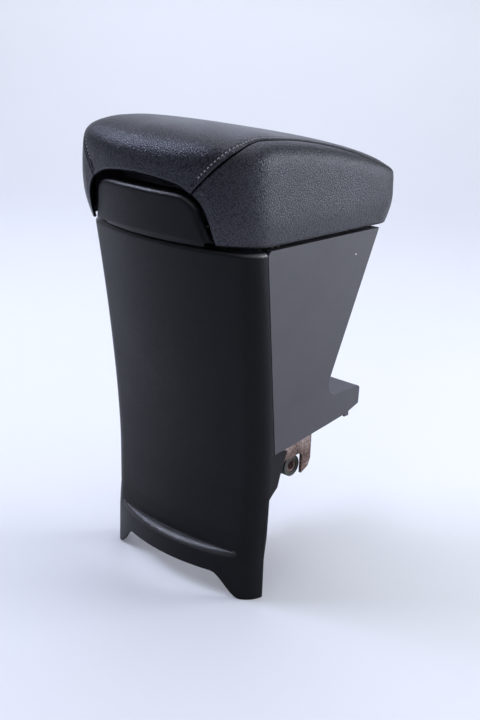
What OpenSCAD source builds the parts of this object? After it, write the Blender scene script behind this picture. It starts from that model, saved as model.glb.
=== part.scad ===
// Centre armrest for a car: a storage box between the front seats with a padded, hinged lid.
// X runs across the car, +Y points to the front of the car, Z is up, millimetres.
// The floor the legs stand on is z = 0, and the origin is midway along and across the lid.

/* [Body] */
// Width over the side walls at their top edge
body_w = 190; // [176:1:200]
// Width over the side walls at the floor
base_w = 174; // [164:1:186]
// Height of the body's top edge above the floor
body_h = 314; // [304:1:330]
// Wall of the moulded panels
wall = 3; // [2.4:0.1:3.6]
// Length of the lid, from its rearmost to its foremost point
lid_len = 238; // [230:1:248]
// Inner edge of the seam between rear cover and side wall
seam_gap = 0.8; // [0.4:0.1:1.2]

/* [Rear cover] */
// Radius of the cover's upright corners
corner_r = 20; // [14:1:26]
// How far the cover bows out behind the corners' start at the top
bow_top = 32; // [29:0.5:36]
// The same in the hollow just above the skirt
bow_hollow = 26; // [24:0.5:28]
// The same on the skirt
bow_skirt = 34; // [31:0.5:37]
// How far the cover sweeps forward from its top edge to its waist
sweep = 26; // [20:1:30]
// Height of the waist, where the sweep ends
waist_z = 100; // [90:1:115]
// How far the legs kick back below the waist
kick = 5.2; // [2:0.2:8]
// Height of the skirt's outer top edge
skirt_z = 37; // [33:0.5:40]
// Rise of the rounded ledge above the skirt
ledge_rise = 6; // [4:0.5:8]
// Height of the tunnel arch between the legs
arch_z = 21; // [17:0.5:24]
// Radius along the cover's top edge
top_round = 5; // [3:0.5:6]

/* [Side walls and shelf] */
// Place of the wall's top front corner behind the lid's front end
wall_front_in = 38; // [32:0.5:42]
// Height of the shelf's top at its front lip
shelf_z = 170; // [164:1:176]
// Depth of the shelf from the foot of the slanted wall to its lip
shelf_len = 52; // [46:1:56]
// Height of the shelf's front edge
shelf_edge = 15; // [12:0.5:18]
// Height of the side wall's lower rear corner
wall_low_z = 134; // [130:1:138]

/* [Lid] */
// Width of the lid at its fullest
lid_w = 196; // [192:1:202]
// Gap between the body's top edge and the lid
lid_gap = 4; // [3:0.2:5]
// Height of the side seam above the lid's lower edge at the rear
seam_rise = 81; // [76:1:86]
// Drop of the side seam from rear to front
seam_drop = 28.5; // [22:0.5:34]
// Height of the lid's top above its lower edge, a third of the way along
top_rise = 85.5; // [82:1:92]
// Thickness of the leather
leather_t = 2; // [1.6:0.1:2.4]
// Radius of the lid's rear corners, seen from above
lid_corner = 45; // [40:1:49]
// How far the lid's rear bows out behind its corners' start
lid_bow_rear = 53; // [51:0.5:57]
// How far its front bows out before its corners' start
lid_bow_front = 36; // [34:0.5:42]
// Wall of the lid's moulded base
base_t = 3; // [2.4:0.1:3.6]

/* [Hinge] */
// Height of the hinge axis above the body's top edge
axis_up = 14; // [12:0.5:16]
// Distance of the hinge axis from the lid's rearmost point
axis_in = 29; // [27:0.5:31]
// Radius of the round pocket in the lid that clears the hinge cover
pocket_r = 38; // [37:0.5:40]
// Diameter of the hinge pin
pin_d = 6; // [5:0.5:7]
// Running clearance of the pin in its bushes, on the radius
pin_fit = 0.05; // [0.03:0.01:0.1]
// Width of the hinge cover at its foot
cover_w = 132; // [126:1:138]
// How far each side of the hinge cover leans in up to its top corner
cover_lean = 7; // [4:0.5:9]
// How far the hinge cover leans back over its height
cover_back = 6; // [3:0.5:7]
// Radius of the hinge cover's top corners, seen from behind
cover_corner = 19; // [15:0.5:21]
// How far the hinge cover's face bows out in its middle
cover_bow = 10; // [6:0.5:12]
// Height of the hinge cover
cover_h = 37; // [34:0.5:39]

/* [Storage bin] */
// Wall of the bin
bin_t = 2.5; // [2:0.1:3]
// Height of the bin's floor above the ground
bin_floor_z = 164; // [158:1:172]
// Width of the rim flange of the bin
rim_w = 8; // [6:0.5:9]

/* [Latch] */
// Width of the latch lever
latch_w = 44; // [36:1:52]
// Diameter of the latch pin
latch_pin_d = 4; // [3.5:0.1:4.5]

/* [Bracket] */
// Thickness of the steel of the mounting bracket
steel_t = 3; // [2.5:0.1:3.5]
// Width over the bracket's side plates
bracket_w = 124; // [112:1:130]
// Diameter of the bracket's fixing holes
bolt_hole = 8.4; // [6.6:0.1:9]

/* [Hidden] */
$fn = 48;

// The lid's two ends along Y
rear_end = -lid_len/2;
front_end = lid_len/2;
// Where the rear cover's corners start at the top edge
corner_y = rear_end + 52;
// Half width of the body at height z
taper = (body_w - base_w)/2/body_h;
function half_w(z) = body_w/2 - taper*(body_h - z);

function mix(a, b, t) = a + (b - a)*t;
function clamp01(t) = max(0, min(1, t));
function ease(a, b, x) = let (t = clamp01((x - a)/(b - a))) t*t*(3 - 2*t);

// One bowed end of an outline seen from above: two corner arcs of radius r, tangent to the sides
// at x = +-w and to a wide arc that reaches d beyond the corners' start at y = yk.
// s is -1 for a rear end and 1 for a front end; it runs from the right side to the left.
corner_n = 6;
bow_n = 16;
function bow_r(w, r, d) = (d*d + (w - r)*(w - r) - r*r)/(2*(d - r));
function bow_a(w, r, d) = asin((w - r)/(bow_r(w, r, d) - r));
function end_curve(w, r, d, yk, s) =
  let (rb = bow_r(w, r, d), a = bow_a(w, r, d), yc = yk - s*(rb - d))
  concat(
    [for (i = [0:corner_n - 1]) let (t = (90 - a)*i/corner_n) [w - r + r*cos(t), yk + s*r*sin(t)]],
    [for (i = [0:bow_n]) let (t = a - 2*a*i/bow_n) [rb*sin(t), yc + s*rb*cos(t)]],
    [for (i = [corner_n - 1:-1:0]) let (t = (90 - a)*i/corner_n)
      [-(w - r + r*cos(t)), yk + s*r*sin(t)]]);

// A shell from an outer and an inner grid of points, rows by columns; closed joins the columns
// into a ring. Faces run outer, inner, first row, last row, then the open ends.
module shell(outer, inner, closed = false) {
  rows = len(outer);
  cols = len(outer[0]);
  n = rows*cols;
  last = closed ? cols - 1 : cols - 2;
  function at(j, i) = j*cols + i % cols;
  faces = concat(
    [for (j = [0:rows - 2], i = [0:last]) [at(j, i), at(j, i + 1), at(j + 1, i + 1)]],
    [for (j = [0:rows - 2], i = [0:last]) [at(j, i), at(j + 1, i + 1), at(j + 1, i)]],
    [for (j = [0:rows - 2], i = [0:last]) [n + at(j, i), n + at(j + 1, i + 1), n + at(j, i + 1)]],
    [for (j = [0:rows - 2], i = [0:last]) [n + at(j, i), n + at(j + 1, i), n + at(j + 1, i + 1)]],
    [for (i = [0:last]) [at(0, i), n + at(0, i), n + at(0, i + 1)]],
    [for (i = [0:last]) [at(0, i), n + at(0, i + 1), at(0, i + 1)]],
    [for (i = [0:last]) [at(rows - 1, i), n + at(rows - 1, i + 1), n + at(rows - 1, i)]],
    [for (i = [0:last]) [at(rows - 1, i), at(rows - 1, i + 1), n + at(rows - 1, i + 1)]],
    closed ? [] : [for (j = [0:rows - 2]) [at(j, 0), n + at(j + 1, 0), n + at(j, 0)]],
    closed ? [] : [for (j = [0:rows - 2]) [at(j, 0), at(j + 1, 0), n + at(j + 1, 0)]],
    closed ? [] : [for (j = [0:rows - 2])
      [at(j, cols - 1), n + at(j, cols - 1), n + at(j + 1, cols - 1)]],
    closed ? [] : [for (j = [0:rows - 2])
      [at(j, cols - 1), n + at(j + 1, cols - 1), at(j + 1, cols - 1)]]);
  points = concat([for (row = outer) each row], [for (row = inner) each row]);
  polyhedron(points, faces, convexity = 8);
}

// Rear cover

// Forward travel of the corners' start at height z: swept above the waist, kicked back below it
function corner_at(z) = corner_y + (z > waist_z
  ? sweep*(1 - pow((z - waist_z)/(body_h - waist_z), 1.5))
  : sweep - kick*clamp01((0.6*waist_z - z)/(0.6*waist_z)));
// Depth of the bow at height z: skirt, rounded ledge, hollow, then filling out to the top
function bow_at(z) = z <= skirt_z ? bow_skirt
  : z < skirt_z + ledge_rise ? bow_hollow + (bow_skirt - bow_hollow)
    * sqrt(max(0, 1 - pow((z - skirt_z)/ledge_rise, 2)))
  : mix(bow_hollow, bow_top, pow((z - skirt_z - ledge_rise)/(body_h - skirt_z - ledge_rise), 1.3));
// Inset of the rounded top edge
function top_in(z) = z < body_h - top_round ? 0
  : top_round - sqrt(max(0, top_round*top_round - pow(z - body_h + top_round, 2)));

// Seam between the rear cover and the side wall: it leans forward towards the floor
seam_lean = 0.1416;
seam_low_y = rear_end + 81.2;
function seam_y(z) = seam_low_y - seam_lean*(z - wall_low_z);
// Front edge of the cover's legs and of the tongues behind the side walls: height, then the
// distance from the lid's rear end
leg_front = [[0, 72.3], [76, 75.2], [93, 78.2], [97, 82], [102, 87.6], [116, 91.1], [133, 97.5]];
function cover_front(z) = z > wall_low_z ? seam_y(z) - seam_gap : rear_end + lookup(z, leg_front);

// Lower edge: a level foot at each corner, and a soft rise from it to the arch between them
foot_in = 10;
foot_rise = 27;
function lower_z(x, y) = arch_z*(1 - ease(half_w(0) - foot_in - foot_rise, half_w(0) - foot_in, abs(x)));

side_n = 5;
function cover_row(z, e) =
  let (w = half_w(z) - e, yk = corner_at(z), ext = top_in(z))
  concat(
    [for (i = [0:side_n - 1]) [w - ext, mix(cover_front(z), yk, i/side_n)]],
    end_curve(w - ext, corner_r - e - ext*0.6, bow_at(z) - e - ext, yk, -1),
    [for (i = [side_n - 1:-1:0]) [-(w - ext), mix(cover_front(z), yk, i/side_n)]]);

module rear_cover() {
  skirt_rows = 4;
  levels = concat(
    [for (k = [0:4]) skirt_z + ledge_rise*sin(18*k + 4)],
    [46, 54, 64, 76, 93, 97, 102, 116, wall_low_z - 1, wall_low_z + 0.2],
    [for (k = [1:8]) mix(wall_low_z, body_h - top_round, k/8)],
    [for (k = [1:4]) body_h - top_round + top_round*sin(22.5*k)]);
  function skirt(e) = [for (k = [0:skirt_rows - 1])
    [for (p = cover_row(skirt_z, e)) [p[0], p[1], mix(lower_z(p[0], p[1]), skirt_z, k/skirt_rows)]]];
  function upper(e) = [for (z = levels) [for (p = cover_row(z, e)) [p[0], p[1], z]]];
  color("#202124") shell(concat(skirt(0), upper(0)), concat(skirt(wall), upper(wall)));
}

// Housing: side walls, slanted front wall and shelf, moulded as one

// The shelf's lip stands behind the wall's top front corner by this much
shelf_in = 6.5;
shelf_front = front_end - wall_front_in - shelf_in;
shelf_back = shelf_front - shelf_len;
wall_front = front_end - wall_front_in;
wall_angle = atan(taper);
shelf_fillet = 12;
// Slant of the front wall, from the shelf's foot up to the top edge
slant = (wall_front - shelf_back)/(body_h - shelf_z);
slant_angle = atan(slant);
function slant_y(z) = wall_front - slant*(body_h - z);

// Fillet between the slanted wall and the shelf, as seen from the side
function foot_fillet(r, y0, z0) =
  let (d = r*tan(45 + slant_angle/2), cy = y0 + d, cz = z0 + r)
  [for (k = [0:5]) let (t = 180 - slant_angle + (90 + slant_angle)*k/5)
    [cy + r*cos(t), cz + r*sin(t)]];

// Side view of the wall: seam, top edge, slanted front edge, shelf and rising lower edge
function side_outline() = concat(
  [[seam_y(wall_low_z), wall_low_z], [seam_y(body_h - 3), body_h - 3], [seam_y(body_h) + 3, body_h],
   [wall_front, body_h]],
  foot_fillet(shelf_fillet, slant_y(shelf_z), shelf_z),
  [[shelf_front - 2, shelf_z], [shelf_front, shelf_z - 2], [shelf_front, shelf_z - shelf_edge - 2],
   [shelf_front - 17, wall_low_z + 13], [shelf_back + 8, wall_low_z + 9],
   [seam_y(wall_low_z) + 18, wall_low_z + 2]]);

// Places children in the plane of a side wall: X out of the wall, Y forward, Z up from the floor
module on_side(s) {
  mirror([s < 0 ? 1 : 0, 0, 0]) translate([body_w/2, 0, body_h]) rotate([0, wall_angle, 0])
    translate([0, 0, -body_h]) children();
}

module side_plate(outline, t) {
  rotate([90, 0, 90]) translate([0, 0, -t]) linear_extrude(t) polygon(outline);
}

// Strip of even thickness under the line of the front wall and the shelf
module front_strip() {
  t = wall;
  tn = wall/cos(slant_angle);
  outer = concat([[wall_front, body_h]], foot_fillet(shelf_fillet, slant_y(shelf_z), shelf_z),
    [[shelf_front - 2, shelf_z], [shelf_front, shelf_z - 2],
     [shelf_front, shelf_z - shelf_edge - 2]]);
  inner = concat([[shelf_front - t, shelf_z - shelf_edge - 2], [shelf_front - t, shelf_z - t]],
    [for (k = [5:-1:0]) foot_fillet(shelf_fillet + t, slant_y(shelf_z - t) - tn, shelf_z - t)[k]],
    [[wall_front - tn, body_h]]);
  rotate([90, 0, 90]) linear_extrude(body_w, center = true) polygon(concat(outer, inner));
}

rail_w = 6;
rail_t = 3;
rail_z = body_h - bin_t - rail_t;
screw_x = body_w/2 - 9.5;
// Screws of the bin: distance of the rear pair from the lid's rear end, of the front pair from the
// wall's front corner
screw_rear = 75;
screw_front = 25.5;
screw_y = [rear_end + screw_rear, wall_front - screw_front];
screw_d = 3;

module housing() {
  color("#2b2c30") {
    for (s = [-1, 1]) on_side(s) side_plate(side_outline(), wall);
    intersection() {
      front_strip();
      rotate([90, 0, 0]) linear_extrude(lid_len, center = true)
        polygon([for (q = [[1, 0], [1, body_h], [-1, body_h], [-1, 0]])
          [q[0]*(half_w(q[1]) - wall/2), q[1]]]);
    }
    for (s = [-1, 1]) rim_rail(s);
  }
}

// Rail inside each side wall that the bin's rim rests and is screwed on
module rim_rail(s) {
  x1 = half_w(rail_z) - wall/2;
  y0 = seam_y(rail_z) + 2;
  y1 = slant_y(rail_z) - wall;
  difference() {
    translate([s > 0 ? x1 - rail_w - wall/2 : -x1, y0, rail_z])
      cube([rail_w + wall/2, y1 - y0, rail_t]);
    for (y = screw_y) translate([s*screw_x, y, rail_z - 1]) cylinder(d = screw_d + 0.1, h = rail_t + 2);
  }
}

// Storage bin

bin_in = 4.7;
bin_half = half_w(bin_floor_z) - wall - bin_in;
bin_front_gap = 4.5;
bin_rear_y = rear_end + 57;
bin_rear_lean = 22;
rim_clear = 0.5;
bin_top = body_h - bin_t;
function bin_front_y(z) = slant_y(z) - wall/cos(slant_angle) - bin_front_gap;
function bin_rear(z) = bin_rear_y + bin_rear_lean*(bin_top - z)/(bin_top - bin_floor_z);

// Solid of the bin's outside shrunk by e, from its floor up to z1
module bin_body(e, z1) {
  z0 = bin_floor_z - bin_t + e;
  r = 10 - e;
  intersection() {
    rotate([90, 0, 90]) linear_extrude(2*bin_half, center = true)
      polygon([[bin_rear(z0) + e, z0], [bin_front_y(z0) - e, z0], [bin_front_y(z1) - e, z1],
        [bin_rear(z1) + e, z1]]);
    rotate([90, 0, 0]) linear_extrude(lid_len, center = true) u_outline(bin_half - e, z0, z1, r);
  }
}

// Upright U outline with rounded lower corners
module u_outline(w, z0, z1, r) {
  polygon(concat([[w, z1]], [for (k = [0:6]) [w - r + r*cos(15*k), z0 + r - r*sin(15*k)]],
    [for (k = [6:-1:0]) [-w + r - r*cos(15*k), z0 + r - r*sin(15*k)]], [[-w, z1]]));
}

catch_w = 30;
module storage_bin() {
  in = top_round + wall + rim_clear;
  side_in = wall + rim_clear;
  step_y = seam_y(bin_top) + 2;
  rim_front = slant_y(bin_top) - wall/cos(slant_angle) - rim_clear;
  color("#2a2a2c") difference() {
    union() {
      bin_body(0, bin_top);
      translate([0, 0, bin_top]) linear_extrude(bin_t) polygon(concat(
        end_curve(half_w(body_h) - in, corner_r - in, bow_top - in, corner_y, -1),
        [[-half_w(bin_top) + in, step_y], [-half_w(bin_top) + side_in, step_y],
         [-half_w(bin_top) + side_in, rim_front], [half_w(bin_top) - side_in, rim_front],
         [half_w(bin_top) - side_in, step_y], [half_w(bin_top) - in, step_y]]));
    }
    bin_body(bin_t, bin_top);
    translate([0, 0, bin_top - 1]) linear_extrude(bin_t + 2)
      polygon([[bin_half - bin_t, bin_rear(bin_top) + bin_t],
        [bin_half - bin_t, bin_front_y(bin_top) - bin_t], [-bin_half + bin_t, bin_front_y(bin_top) - bin_t],
        [-bin_half + bin_t, bin_rear(bin_top) + bin_t]]);
    for (s = [-1, 1], y = screw_y) translate([s*screw_x, y, bin_top - 1])
      cylinder(d = screw_d + 0.1, h = bin_t + 2);
  }
}

mat_t = 2;
mat_gap = 2;
module bin_mat() {
  y0 = bin_rear(bin_floor_z) + bin_t + mat_gap;
  y1 = bin_front_y(bin_floor_z) - bin_t - mat_gap;
  w = bin_half - bin_t - 10;
  color("#1b1b1c") difference() {
    translate([-w, y0, bin_floor_z]) cube([2*w, y1 - y0, mat_t]);
    for (k = [-6:6]) translate([k*w/7 - 1, y0 + 4, bin_floor_z + mat_t - 0.6])
      cube([2, y1 - y0 - 8, 1]);
  }
}

// Hinge

axis_y = rear_end + axis_in;
axis_z = body_h + axis_up;
ear_x = 30;
ear_t = 3;
ear_r = 9;
bush_r = pin_d/2 + 1.5;
bush_flange = 1;

// Steel bracket on the rim: a base plate with two folded ears that carry the pin
module hinge_bracket() {
  base_y0 = axis_y - 2;
  base_y1 = bin_rear_y + 1;
  color("#8d9196") difference() {
    union() {
      translate([-ear_x - ear_t - 8, base_y0, body_h]) cube([2*(ear_x + ear_t + 8), base_y1 - base_y0, 2]);
      for (s = [-1, 1]) translate([s*ear_x + (s < 0 ? -ear_t : 0), 0, 0]) rotate([90, 0, 90])
        linear_extrude(ear_t) union() {
          translate([axis_y, axis_z]) circle(r = ear_r);
          polygon([[axis_y - ear_r, axis_z], [axis_y - ear_r, body_h + 6], [axis_y - 5, body_h],
            [base_y1 - 2, body_h], [base_y1 - 2, body_h + 3], [axis_y + ear_r, axis_z]]);
        }
    }
    translate([0, axis_y, axis_z]) rotate([0, 90, 0]) cylinder(r = bush_r, h = 4*ear_x, center = true);
  }
}

// Flanged bushes in the ears, one moulding for each ear
module hinge_bushes() {
  color("#d9d6c8") for (s = [-1, 1]) mirror([s < 0 ? 1 : 0, 0, 0]) translate([ear_x, axis_y, axis_z])
    rotate([0, 90, 0]) difference() {
      union() {
        cylinder(r = bush_r, h = ear_t);
        translate([0, 0, ear_t]) cylinder(r = bush_r + 2, h = bush_flange);
      }
      translate([0, 0, -1]) cylinder(r = pin_d/2 + pin_fit, h = ear_t + bush_flange + 2);
    }
}

pin_half = ear_x + ear_t + bush_flange + 3;
// Pin with a turned groove near each end, pressed into the arms on the lid
module hinge_pin() {
  color("#b9bcc0") translate([0, axis_y, axis_z]) rotate([0, 90, 0]) rotate_extrude()
    polygon([[0, -pin_half], [pin_d/2 - 0.6, -pin_half], [pin_d/2, -pin_half + 0.6],
      [pin_d/2, pin_half - 0.6], [pin_d/2 - 0.6, pin_half], [0, pin_half]]);
}

// Lid outline, surface and panels

lid_z = body_h + lid_gap - 1;
lid_rear_lift = 2;
lid_half = lid_w/2;
lid_rear_y = rear_end + lid_bow_rear;
lid_front_y = front_end - lid_bow_front;
front_corner = 30;
lid_side_n = 6;

// Outline of the lid seen from above, inset by e: it runs from the right rear round to the left
// and back along the front, so it closes on itself
function lid_outline(e) =
  let (rear = end_curve(lid_half - e, lid_corner - e, lid_bow_rear - e, lid_rear_y, -1),
    front = end_curve(lid_half - e, front_corner - e, lid_bow_front - e, lid_front_y, 1), n = len(front))
  concat(rear,
    [for (k = [1:lid_side_n - 1]) [-lid_half + e, mix(lid_rear_y, lid_front_y, k/lid_side_n)]],
    [for (k = [n - 1:-1:0]) front[k]],
    [for (k = [1:lid_side_n - 1]) [lid_half - e, mix(lid_front_y, lid_rear_y, k/lid_side_n)]]);
end_n = 2*corner_n + bow_n + 1;
lid_n = 2*end_n + 2*(lid_side_n - 1);

// Height of the side seam along the lid, and of the top surface over it
seam_peak_y = rear_end + 42;
function side_seam_z(y) = lid_z + seam_rise
  - seam_drop*pow(max(0, y - seam_peak_y)/(wall_front - seam_peak_y), 2);
// The top slopes down to the front, ever more steeply
function ridge_z(y) = let (d = y - rear_end - 76, behind = max(0, -d))
  lid_z + top_rise - 0.135*d - 0.00045*d*d - 0.0006*behind*behind;
function top_z(x, y) = mix(ridge_z(y), side_seam_z(y) + 1.5, pow(min(1, abs(x)/lid_half), 2.5));

// Boxiness of the section: firm along the sides, rounder at the rear and the front
function boxy(p) = mix(4.4, 9,
  ease(0.2, 1, abs(p[0])/lid_half)*(1 - 0.6*ease(lid_rear_y + 12, rear_end + 28, p[1])));
// Share of the rear corners' form: there the fullest line is higher and the skin below it draws in
function rear_share(p) = ease(lid_rear_y + 20, lid_rear_y - 30, p[1]);
function mid_z(p) = lid_z + 25 + 17*rear_share(p);
// The leather draws in below the fullest line by this share of its distance from the middle
tuck = 0.035;
rear_tuck = 0.06;
function tuck_at(p) = mix(tuck, rear_tuck, rear_share(p));
// Point of the lid's skin over outline point p: q from -1 at the lower edge over 0 at the
// fullest line to 1 at the middle of the top
function skin(p, p0, q, e) =
  let (n = boxy(p0), mid = mid_z(p0), c = q < 0 ? 1 - tuck_at(p0)*q*q : pow(cos(90*q), 2/n),
    s = q < 0 ? 0 : pow(sin(90*q), 2/n), x = p[0]*c, y = p[1]*c)
  [x, y, q < 0 ? mix(mid, edge_z(p0), -q) : mid + (top_z(x, y) - e - mid)*s];
function skin_q(p0, z) = let (mid = mid_z(p0)) z <= mid ? -(mid - z)/(mid - edge_z(p0))
  : let (s = min(0.999, (z - mid)/(top_z(p0[0]*0.95, p0[1]*0.95) - mid)))
    asin(pow(s, boxy(p0)/2))/90;

// Lower edge: level along the sides, lifted towards the rear so that the lid can swing up
function edge_z(p) = lid_z + lid_rear_lift*ease(rear_end + 60, rear_end + 12, p[1]);

// Notch round the hinge cover: its half width at the foot and the height of its crowned top
cover_z = body_h + 6.5;
cover_rear = rear_end + 8.5;
notch_top_gap = 13.5;
notch_side_gap = 8;
notch_top = cover_z + cover_h + notch_top_gap;
notch_low_half = cover_w/2 + notch_side_gap;
// Half of the notch's outline: in from the foot's half width, and down from the top
notch_drop = [[54, 1], [42, 2.4], [31, 4.2], [26, 6], [21, 8.6], [14, 12], [8, 18.5], [3.5, 28], [1, 38]];
notch_shape = concat([[0, notch_top]],
  [for (q = notch_drop) [notch_low_half - q[0], notch_top - q[1]]], [[notch_low_half + 2, lid_z + lid_rear_lift]]);
function in_notch(p) = p[1] < lid_rear_y && abs(p[0]) < notch_low_half + 2;
function notch_edge(p) = in_notch(p) ? max(edge_z(p), lookup(abs(p[0]), notch_shape)) : edge_z(p);

// Seam between the top panel and the side panels: along the sides, then down over the rear
// corner to the notch, and down over the front corner to the lower edge
seam_front_half = 62;
// Fall of the seam on the rear corner: even further in, easing out to nothing at the side
seam_bend = lid_half - 7;
seam_soft = 6;
seam_fall = 1.14;
function seam_rear_z(p) = let (u = seam_bend - abs(p[0]),
    line = side_seam_z(p[1]) - seam_fall/2*(u + sqrt(u*u + seam_soft*seam_soft)) + 0.5)
  line > notch_edge(p) + 1.5 ? line : notch_edge(p);
function seam_front_z(p) = let (low = edge_z(p),
    t = clamp01((abs(p[0]) - seam_front_half)/(lid_half - 3 - seam_front_half)))
  t <= 0 ? low : mix(low + 1.5, side_seam_z(p[1]), pow(t, 0.6));
function seam_z(p) = p[1] < lid_rear_y + 8 ? seam_rear_z(p)
  : p[1] > lid_front_y - 4 ? seam_front_z(p) : side_seam_z(p[1]);

seam_groove = 0.5;
// Grid of skin points between two heights given by functions of the outline point
function panel_grid(cols, lower, upper, rows, e) =
  let (ring0 = lid_outline(0), ring = lid_outline(e))
  [for (j = [0:rows]) [for (i = cols) let (p0 = ring0[i], p = ring[i],
    qa = skin_q(p0, lower(p0)), qb = skin_q(p0, upper(p0)))
    skin(p, p0, mix(qa, qb, j/rows), e)]];

// Right side columns in order from the rear notch round to the front, and the left ones
ring = lid_outline(0);
function has_side(p) = seam_z(p) - notch_edge(p) > 1;
right_cols = concat(
  [for (i = [end_n:lid_n - 1]) if (ring[i][0] > 0 && has_side(ring[i])) i],
  [for (i = [0:end_n - 1]) if (ring[i][0] > 0 && has_side(ring[i])) i]);
left_cols = [for (i = [0:lid_n - 1]) if (ring[i][0] < 0 && has_side(ring[i])) i];

module side_panel(cols) {
  low = function(p) notch_edge(p);
  high = function(p) seam_z(p) - seam_groove;
  shell(panel_grid(cols, low, high, 7, 0), panel_grid(cols, low, high, 7, leather_t));
}

module leather_right() { color("#1d1d1f") side_panel(right_cols); }
module leather_left() { color("#1d1d1f") side_panel(left_cols); }

// A closed skin of rings that ends in one point at the middle of the top: two layers give the
// leather, one layer over a flat floor gives the pad
top_rings = [0, 0.12, 0.24, 0.36, 0.48, 0.6, 0.7, 0.78, 0.85, 0.91, 0.96];
function top_layer(lower, e) =
  let (ring1 = lid_outline(e))
  concat([for (t = top_rings) each [for (i = [0:lid_n - 1])
      let (q0 = skin_q(ring[i], lower(ring[i]))) skin(ring1[i], ring[i], mix(q0, 1, t), e)]],
    [[0, 0, top_z(0, 0) - e]]);

module leather_top() {
  m = len(top_rings);
  n = m*lid_n + 1;
  low = function(p) seam_z(p);
  function at(j, i) = j*lid_n + i % lid_n;
  faces = concat(
    [for (j = [0:m - 2], i = [0:lid_n - 1]) each [[at(j, i), at(j, i + 1), at(j + 1, i + 1)],
      [at(j, i), at(j + 1, i + 1), at(j + 1, i)]]],
    [for (i = [0:lid_n - 1]) [at(m - 1, i), at(m - 1, i + 1), n - 1]],
    [for (j = [0:m - 2], i = [0:lid_n - 1]) each [[n + at(j, i), n + at(j + 1, i + 1), n + at(j, i + 1)],
      [n + at(j, i), n + at(j + 1, i), n + at(j + 1, i + 1)]]],
    [for (i = [0:lid_n - 1]) [n + at(m - 1, i), 2*n - 1, n + at(m - 1, i + 1)]],
    [for (i = [0:lid_n - 1]) each [[at(0, i), n + at(0, i), n + at(0, i + 1)],
      [at(0, i), n + at(0, i + 1), at(0, i + 1)]]]);
  color("#1d1d1f") polyhedron(concat(top_layer(low, 0), top_layer(low, leather_t)), faces, convexity = 6);
}

// Foam pad: fills the leather down to the base, with the hinge pocket and the latch pocket cut out
pad_z = lid_z + 9;
pad_in = leather_t + 2.6;
module pad_solid() {
  m = len(top_rings);
  n = m*lid_n + 1;
  low = function(p) pad_z;
  function at(j, i) = j*lid_n + i % lid_n;
  faces = concat(
    [for (j = [0:m - 2], i = [0:lid_n - 1]) each [[at(j, i), at(j, i + 1), at(j + 1, i + 1)],
      [at(j, i), at(j + 1, i + 1), at(j + 1, i)]]],
    [for (i = [0:lid_n - 1]) [at(m - 1, i), at(m - 1, i + 1), n - 1]],
    [for (i = [0:lid_n - 1]) [at(0, i + 1), at(0, i), n]]);
  polyhedron(concat(top_layer(low, pad_in), [[0, 0, pad_z]]), faces, convexity = 6);
}

liner_t = 2.4;
pocket_half = notch_low_half + 2;
// The notch seen from behind, grown by e
module notch_window(e, z0) {
  n = len(notch_shape);
  rotate([90, 0, 0]) linear_extrude(lid_len, center = true) polygon(concat(
    [[-notch_low_half - e, z0], [notch_low_half + e, z0]],
    [for (k = [n - 1:-1:1]) notch_shape[k] + [e, e]],
    [for (k = [0:n - 1]) [-notch_shape[k][0] - (k > 0 ? e : 0), notch_shape[k][1] + e]]));
}

latch_pocket_y = wall_front - 22.5;
latch_pocket_z = body_h + 30;
latch_half = latch_w/2 + 4;
// Thickness of the padded cheeks beside the notch
cheek_t = 10.5;

module lid_foam() {
  color("#3a382f") difference() {
    pad_solid();
    intersection() {
      translate([0, axis_y, axis_z]) rotate([0, 90, 0])
        cylinder(r = pocket_r + liner_t + 0.3, h = 2*pocket_half + 2*liner_t + 0.6, center = true);
      ring_plate(cheek_t, lid_z - 1, 100);
    }
    intersection() {
      notch_window(0.5, lid_z - 1);
      translate([-lid_half, rear_end - 1, lid_z]) cube([lid_w, axis_in + 1, 100]);
    }
    translate([-latch_half - 0.3, latch_pocket_y - 0.3, lid_z])
      cube([2*latch_half + 0.6, 90, latch_pocket_z - lid_z + 0.3]);
  }
}

// Moulded base of the lid: a plate under the pad, a land round its edge, the round hinge pocket
// and the pocket that holds the latch
plate_z = pad_z - base_t;
land_w = 9;
skin_in = leather_t + 0.3 + tuck*front_end;
// Where the lid's skin draws in at the rear, the plate is set in with it
rear_in = (rear_tuck - tuck)*(lid_half + lid_corner) - 0.2;
rear_cut = 62;
module ring_plate(e, z0, h) { translate([0, 0, z0]) linear_extrude(h) polygon(lid_outline(e)); }

latch_y = wall_front - 5.5;
latch_z = body_h + 16;

module lid_base() {
  color("#26272a") difference() {
    union() {
      ring_plate(skin_in + rear_in, plate_z, base_t);
      difference() {
        ring_plate(skin_in, lid_z + 1, pad_z - lid_z - 1);
        ring_plate(skin_in + land_w, lid_z, 20);
        translate([-lid_half, rear_end - 1, lid_z - 1]) cube([lid_w, rear_cut, pad_z - lid_z + 2]);
      }
      intersection() {
        translate([0, axis_y, axis_z]) rotate([0, 90, 0])
          cylinder(r = pocket_r + liner_t, h = 2*pocket_half + 2*liner_t, center = true);
        translate([-lid_half, axis_y - 10, plate_z]) cube([lid_w, 60, 60]);
        ring_plate(cheek_t + 0.3, lid_z, 100);
      }
      translate([-latch_half, latch_pocket_y, plate_z])
        cube([2*latch_half, front_end - 6 - latch_pocket_y, latch_pocket_z - plate_z]);
    }
    translate([0, axis_y, axis_z]) rotate([0, 90, 0]) cylinder(r = pocket_r, h = 2*pocket_half, center = true);
    translate([-pocket_half, rear_end - 1, lid_z - 1]) cube([2*pocket_half, axis_in + 1, 30]);
    translate([-latch_half + base_t, latch_pocket_y + base_t, lid_z - 1])
      cube([2*(latch_half - base_t), 90, latch_pocket_z - base_t - lid_z + 1]);
    translate([0, latch_y, latch_z]) rotate([0, 90, 0]) cylinder(d = latch_pin_d, h = 3*latch_half, center = true);
    for (s = [-1, 1]) translate([s*arm_screw_x, arm_screw_y, plate_z - 1]) cylinder(d = screw_d + 0.1, h = 20);
  }
}

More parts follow.
